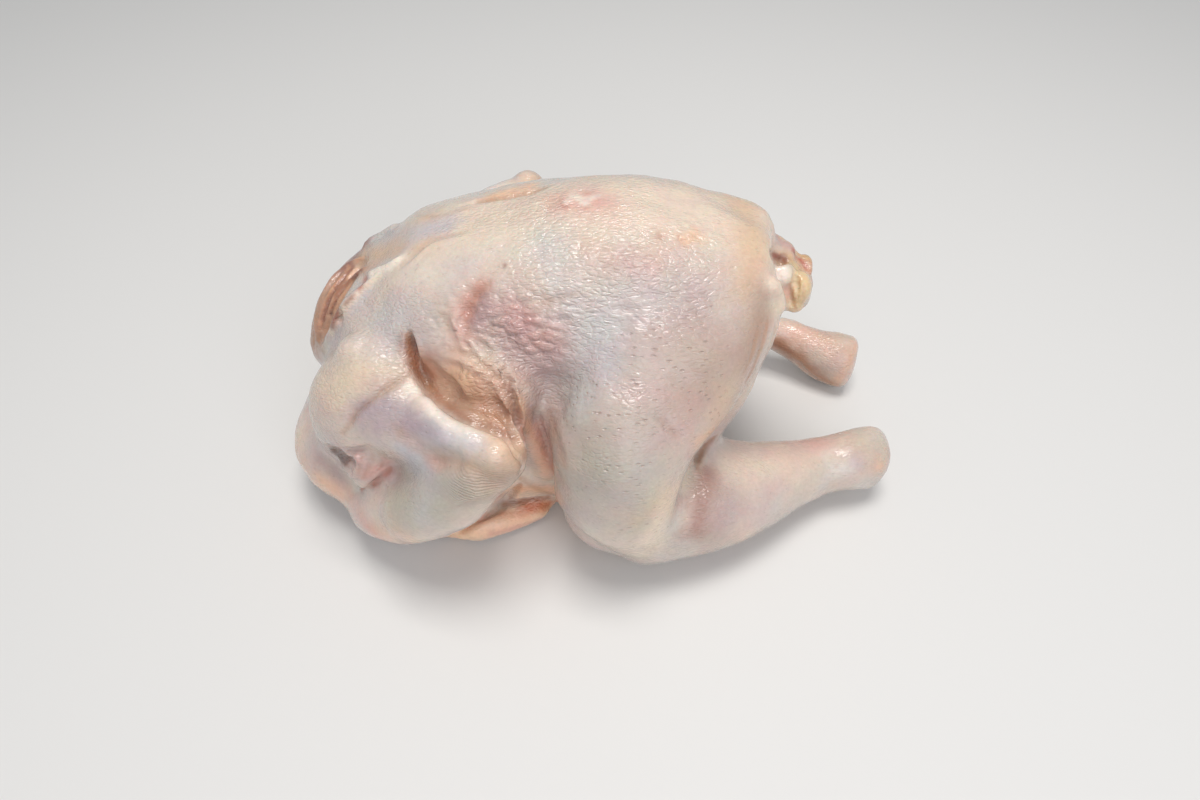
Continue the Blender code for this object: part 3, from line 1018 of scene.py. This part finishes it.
# %% The neck, the tail and the far leg
NECK_AND_TAIL = (
    ("flesh", 0.95, 5.0, NECK_LINE),
    ("flesh", 0.9, 3.6, ((362, 270), (348, 288), (337, 306), (328, 328))),
    # painted shade along the far shoulder's shaded side, by the neck
    ("plum_shade", 0.85, 3.6, ((363, 242), (355, 256), (347, 269))),
    ("orange", 0.6, 1.1, ((349, 268), (335, 284), (325, 301), (320, 322))),
    ("orange", 0.6, 1.1, ((357, 268), (343, 283), (333, 298), (327, 315))),
    ("brown_shade", 0.5, 2.2, ((349, 280), (340, 290))),
    ("bruise", 0.5, 2.2, ((330, 300), (324, 318))),
    # painted shade in the grooves between the neck's strands, here and in the darkest rows below
    ("dark", 0.7, 1.0, ((353, 268), (339, 282), (329, 300), (323, 320))),
    ("dark", 0.6, 1.0, ((361, 270), (347, 284), (337, 298), (331, 313))),
    ("orange", 0.45, 1.0, ((352, 282), (342, 295), (334, 312))),
    ("dark", 0.6, 1.2, ((345, 280), (335, 294))),
    ("cream", 0.85, 2.0, ((380, 274), (361, 290), (352, 299), (343, 309), (337, 319), (331, 333))),
    # painted shade in the pit of the neck's flesh
    ("dark", 0.9, 1.6, ((338, 311), (335, 319), (331, 326))),
    ("dark", 0.6, 1.2, ((352, 297), (345, 304))),
    ("sand", 0.75, 4.5, ((366, 254), (382, 254), (398, 250))),
    ("brown_shade", 0.4, 2.5, ((361, 258), (368, 264))),
    ("white", 0.9, 2.0, ((401, 257), (389, 267), (373, 272))),
    ("red", 0.75, 1.6, ((366, 279), (360, 287))),
    ("fat", 0.75, 6.5, ((795, 262), (802, 285), (797, 303))),
    ("mauve", 0.9, 4.0, ((779, 238), (790, 246), (794, 252))),
    ("sand", 0.7, 1.4, ((777, 234), (790, 239), (803, 251))),
    ("ochre", 0.85, 2.8, ((804, 256), (812, 260), (813, 270))),
    ("deep_orange", 0.6, 1.0, ((812, 264), (812, 272), (806, 270))),
    ("red", 0.9, 1.0, ((794, 251), (800, 259), (806, 267))),
    ("white", 0.85, 3.4, ((783, 271), (785, 279))),
    # painted shade in the hollow beside the tail
    ("dark", 0.95, 2.2, ((774, 255), (784, 260))),
    ("blush", 0.6, 1.8, ((785, 288), (788, 297))),
    # painted shade along the folds of the tail's fat, here and two rows below
    ("brown_shade", 0.6, 1.0, ((790, 284), (793, 297), (796, 308))),
    ("brown_shade", 0.4, 0.9, ((798, 276), (803, 290), (803, 303))),
    ("cream", 0.85, 3.0, ((772, 282), (778, 295), (781, 312))),
    ("brown_shade", 0.5, 1.0, ((786, 300), (785, 314))),
    ("orange", 0.3, 7, ((800, 328), (825, 336), (845, 350))),
    ("blush", 0.2, 6, ((800, 335), (830, 350))),
    # painted shade on the far leg's underside
    ("brown_shade", 0.95, 4.5, ((778, 344), (798, 358), (815, 374), (830, 383))),
    ("dark", 0.4, 2.5, ((775, 343), (790, 352))),
    ("orange", 0.4, 3, ((856, 345), (848, 366), (838, 380))),
    ("bruise", 0.3, 6, ((842, 356), (836, 364))),
)
for tint, strength, reach, line in DETAILS + NECK_AND_TAIL:
    dab(tint, strength, reach, line, both=False)
print("dabs on one side", len(DETAILS + NECK_AND_TAIL))

# %% Shade the folds, and keep the tints
# Each fold gets a thin darker line, painted shade in its crease.
for line, wide, deep, lip in WING_FOLDS + FLANK_FOLDS + LEG_FOLDS + BACK_FOLDS:
    dab("brown_shade", 0.22 + 0.08 * deep, 0.8 * wide, line)


def store(name, kind, key, values):
    """Keeps values on the mesh's points, where the material reads them."""
    skin.attributes.new(name, kind, "POINT").data.foreach_set(key, np.asarray(values, np.float32).ravel())


store("tint", "FLOAT_COLOR", "color", np.hstack([colour, np.ones((len(colour), 1))]))
print("mean tint", np.round(colour.mean(axis=0), 3))

# %% Where the pores and the fine stripes are
PORE_SPOTS = ((600, 420), (650, 400), (620, 480), (700, 400), (680, 340), (620, 350), (640, 530))
ROUGH_SPOTS = ((560, 240), (620, 260), (680, 280), (520, 340), (540, 300), (470, 380), (370, 370))
SMOOTH_SPOTS = ((790, 270), (800, 290), (335, 300), (440, 410), (440, 365), (770, 250))
LEAST_PORES, LEAST_GRAIN = 0.35, 0.16  # both are weaker elsewhere, but never gone
pores = near_pixels(where, PORE_SPOTS, 18)
stripes = near_pixels(where, ((468, 492), (485, 488), (500, 482)), 7)
rough = near_pixels(where, ROUGH_SPOTS, 20)
smooth_spots = near_pixels(where, SMOOTH_SPOTS, 11)
grain_here = 0.28 + 0.5 * noise(where, 16, 61) + 0.6 * rough - 0.6 * smooth_spots
store("grain", "FLOAT", "value", np.clip(grain_here, LEAST_GRAIN, 1.0))
store("pores", "FLOAT", "value", np.maximum(LEAST_PORES, pores))
store("stripes", "FLOAT", "value", stripes)
print("masks stored")

# %% [markdown]
# ## Skin finish
# The material is raw poultry skin: a thin, wet, slightly see-through sheet of collagen over fat. Light goes a
# few millimetres in and comes back warmer, so it has subsurface scattering. Its film of water gives small
# sharp glints over a broader satin gloss. Its IOR is near that of water and protein, 1.4.

# %% A node with its settings and links
def add(tree, kind, inputs=None, **settings):
    """Adds a node. Its inputs are values or other nodes' outputs, by name or by number."""
    made = tree.nodes.new("ShaderNode" + kind)
    for name, value in settings.items():
        setattr(made, name, value)
    for socket, value in (inputs or {}).items():
        if isinstance(value, bpy.types.NodeSocket):
            tree.links.new(value, made.inputs[socket])
        else:
            made.inputs[socket].default_value = value
    return made


def per_mm(size):
    """A texture scale whose features are that many millimetres apart."""
    return 1 / (size * MM)


print("a scale for 1 mm is", round(per_mm(1)))

# %% Raw poultry skin: what the nodes read
finish = bpy.data.materials.new("raw_poultry_skin")
finish.use_nodes = True
tree = finish.node_tree
shader = tree.nodes["Principled BSDF"]
at = add(tree, "TexCoord").outputs["Object"]
tint = add(tree, "Attribute", attribute_name="tint").outputs["Color"]
pore_mask = add(tree, "Attribute", attribute_name="pores").outputs["Fac"]
grain_mask = add(tree, "Attribute", attribute_name="grain").outputs["Fac"]
stripe_mask = add(tree, "Attribute", attribute_name="stripes").outputs["Fac"]
print("material", finish.name)

# %% Mottled and flecked colour
MOTTLE = 9.0  # patches of fat and muscle under the skin
FLECK = 1.6  # fine pale and dark flecks
mottle = add(tree, "TexNoise", {"Vector": at, "Scale": per_mm(MOTTLE), "Detail": 4.0, "Roughness": 0.6})
fleck = add(tree, "TexNoise", {"Vector": at, "Scale": per_mm(FLECK), "Detail": 3.0, "Roughness": 0.65})

patchy = add(tree, "MapRange", {"Value": mottle.outputs["Fac"], 1: 0.35, 2: 0.65, 3: 0.0, 4: 1.0})
PINK_SIDE, YELLOW_SIDE = rgba("FFF5F2"), rgba("FFFCF3")
shade = add(tree, "Mix", {0: patchy.outputs[0], 6: PINK_SIDE, 7: YELLOW_SIDE}, data_type="RGBA")
multiplied = {"data_type": "RGBA", "blend_type": "MULTIPLY"}
glazed = add(tree, "Mix", {0: 1.0, 6: tint, 7: shade.outputs[2]}, **multiplied)
flecks = add(tree, "MapRange", {"Value": fleck.outputs["Fac"], 1: 0.3, 2: 0.7, 3: 0.93, 4: 1.05})
flecked = add(tree, "Mix", {0: 1.0, 6: glazed.outputs[2], 7: flecks.outputs[0]}, **multiplied)
print("mottle at", MOTTLE, "mm, flecks at", FLECK, "mm")

# %% Follicles
# The points are scattered in space, 2 mm apart and more along the body. Only those close under the skin show, so
# the marks come out roughly 4 to 5 mm apart. Each is a short shallow pit, painted a little darker than the skin:
# partly the follicle's own colour, partly painted shade in the pit.
FOLLICLES = 2.0
ALONG = 0.42  # squeezes the pattern along the body, so it comes out longer there
LEAN = math.radians(12)
PIT_DARK, PIT_DEEP = 0.14, 1.0
stretched = add(
    tree, "Mapping", {"Vector": at, "Scale": (ALONG, 1.0, 1.0), "Rotation": (0.0, LEAN, 0.0)}
)
pits = add(
    tree,
    "TexVoronoi",
    {"Vector": stretched.outputs[0], "Scale": per_mm(FOLLICLES), "Randomness": 0.8},
    feature="F1",
)
pit = add(tree, "MapRange", {"Value": pits.outputs["Distance"], 1: 0.04, 2: 0.25, 3: 1.0, 4: 0.0})
pit_here = add(tree, "Math", {0: pit.outputs[0], 1: pore_mask}, operation="MULTIPLY")
pit_dark = add(tree, "Math", {0: pit_here.outputs[0], 1: PIT_DARK}, operation="MULTIPLY")
pit_brown = {6: flecked.outputs[2], 7: rgba("A0755C")}
pitted = add(tree, "Mix", {0: pit_dark.outputs[0], **pit_brown}, data_type="RGBA")
print("follicles at", FOLLICLES, "mm across and", round(FOLLICLES / ALONG, 1), "mm along")

# %% Stripes under the elbow
# Fine wrinkles lie side by side under the elbow, drawn 0.9 mm apart.
STRIPES = 0.9
WAVE = math.tau / 20  # the wave texture's own period at a scale of 1
BAND_DARK, BAND_HIGH = 0.3, 0.5
turned = add(tree, "Mapping", {"Vector": at, "Rotation": (0.0, -LEAN, 0.0)})
bands = add(
    tree,
    "TexWave",
    {"Vector": turned.outputs[0], "Scale": WAVE * per_mm(STRIPES), "Distortion": 4.0, "Detail": 3.0},
    bands_direction="Z",
)
band_here = add(tree, "Math", {0: bands.outputs["Fac"], 1: stripe_mask}, operation="MULTIPLY")
band_dark = add(tree, "Math", {0: band_here.outputs[0], 1: BAND_DARK}, operation="MULTIPLY")
band_grey = {6: pitted.outputs[2], 7: rgba("8C7866")}
striped = add(tree, "Mix", {0: band_dark.outputs[0], **band_grey}, data_type="RGBA")
tree.links.new(striped.outputs[2], shader.inputs["Base Color"])
print("stripes at", STRIPES, "mm")

# %% Grain
# A pixel of the picture is about half a millimetre here, and the finest real grain is less. It is drawn coarser so
# that it shows: soft bumps and a leathery net, both drawn out along the body and swayed a little from side to side.
GRAIN = 1.2  # soft bumps
NET = 1.5  # the net's cells
SWAY, SWAY_BY = 6.0, 1.5 * MM  # size of the sway, and how far it goes
STRETCH = 0.45  # squeezes the grain along the body, so it comes out longer there
BUMP_HIGH = 0.45 * MM
sway = add(tree, "TexNoise", {"Vector": at, "Scale": per_mm(SWAY), "Detail": 1.0})
swaying = {0: sway.outputs["Color"], 1: (0.0, SWAY_BY, SWAY_BY), 2: at}
swayed = add(tree, "VectorMath", swaying, operation="MULTIPLY_ADD")
drawn = add(tree, "Mapping", {"Vector": swayed.outputs[0], "Scale": (STRETCH, 1.0, 1.0)})
fine = {"Vector": drawn.outputs[0], "Scale": per_mm(GRAIN), "Detail": 3.0, "Roughness": 0.6}
grain = add(tree, "TexNoise", fine)
net = add(
    tree,
    "TexVoronoi",
    {"Vector": drawn.outputs[0], "Scale": per_mm(NET), "Randomness": 1.0},
    feature="DISTANCE_TO_EDGE",
)
net_high = add(tree, "MapRange", {"Value": net.outputs["Distance"], 1: 0.0, 2: 0.25, 3: 0.0, 4: 0.6})
both_grains = add(tree, "Math", {0: grain.outputs["Fac"], 1: net_high.outputs[0]}, operation="ADD")
relief = add(tree, "Math", {0: both_grains.outputs[0], 1: grain_mask}, operation="MULTIPLY")
hole = add(tree, "Math", {0: pit_here.outputs[0], 1: -PIT_DEEP, 2: relief.outputs[0]}, operation="MULTIPLY_ADD")
height = add(tree, "Math", {0: band_here.outputs[0], 1: BAND_HIGH, 2: hole.outputs[0]}, operation="MULTIPLY_ADD")
bump = add(tree, "Bump", {"Height": height.outputs[0], "Strength": 1.0, "Distance": BUMP_HIGH})
tree.links.new(bump.outputs[0], shader.inputs["Normal"])
tree.links.new(bump.outputs[0], shader.inputs["Coat Normal"])
print("grain at", GRAIN, "mm, net at", NET, "mm")

# %% Gloss, and light in the skin
SHARP, DULL = 0.36, 0.55  # roughness of wet and of drier skin
gloss = add(tree, "MapRange", {"Value": mottle.outputs["Fac"], 1: 0.3, 2: 0.7, 3: SHARP, 4: DULL})
tree.links.new(gloss.outputs[0], shader.inputs["Roughness"])
SETTINGS = {
    "IOR": 1.4,  # wet collagen
    "Subsurface Weight": 0.35,
    "Subsurface Radius": (1.0, 0.42, 0.28),  # red light goes furthest in flesh
    "Subsurface Scale": 4.0 * MM,
    "Coat Weight": 1.0,  # the film of water
    "Coat Roughness": 0.12,
    "Coat IOR": 1.42,
}
for socket, value in SETTINGS.items():
    shader.inputs[socket].default_value = value
skin.materials.clear()
skin.materials.append(finish)
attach(bird, "root")
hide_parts("chicken")
print("finish", len(tree.nodes), "nodes")

# %% [markdown]
# ## Floor and light
# A studio lights food with one large soft source from above and behind, which rakes over the wet skin, and a
# pale surface that throws light back from below. A broad weak fill from the front opens the shadows.

# %% Floor
FLOOR_HALF = 12.0  # metres
FLOOR_UNDER = -0.3 * MM  # a little under the bird, so that the two don't flicker
floor_data = bpy.data.meshes.new("floor")
corners = [(x * FLOOR_HALF, y * FLOOR_HALF, FLOOR_UNDER) for x, y in ((-1, -1), (1, -1), (1, 1), (-1, 1))]
floor_data.from_pydata(corners, [], [(0, 1, 2, 3)])
floor = bpy.data.objects.new("floor", floor_data)
bpy.context.scene.collection.objects.link(floor)
plain = bpy.data.materials.new("pale_floor")
plain.use_nodes = True
paint = plain.node_tree.nodes["Principled BSDF"]
paint.inputs["Base Color"].default_value = rgba("E4E2DF")
paint.inputs["Roughness"].default_value = 0.7
floor_data.materials.append(plain)
print("floor", 2 * FLOOR_HALF, "m wide")


# %% Lights
def soft_light(name, place, size, watts, colour_code):
    light = bpy.data.lights.new(name, "AREA")
    light.shape = "SQUARE"
    light.size = size
    light.energy = watts
    light.color = tuple(linear(colour_code))
    thing = bpy.data.objects.new(name, light)
    thing.location = place
    thing.rotation_euler = (-Vector(place)).to_track_quat("-Z", "Y").to_euler()
    bpy.context.scene.collection.objects.link(thing)


# A name, the place and the size in metres, the power in watts and the colour.
LIGHTS = (
    ("overhead", (0.05, -0.02, 1.1), 0.44, 6.9, "FFFDFA"),
    ("fill", (0.4, -1.1, 0.8), 1.2, 7.4, "F6F8FF"),
)
for row in LIGHTS:
    soft_light(*row)
print("lights", [row[0] for row in LIGHTS])

# %% The studio's own light
STUDIO_STRENGTH = 0.43
world = bpy.data.worlds.new("studio")
bpy.context.scene.world = world
world.use_nodes = True
background = world.node_tree.nodes["Background"]
background.inputs["Color"].default_value = rgba("E8ECF0")
background.inputs["Strength"].default_value = STUDIO_STRENGTH
bpy.context.scene.view_settings.view_transform = "Standard"
print("studio light", STUDIO_STRENGTH)
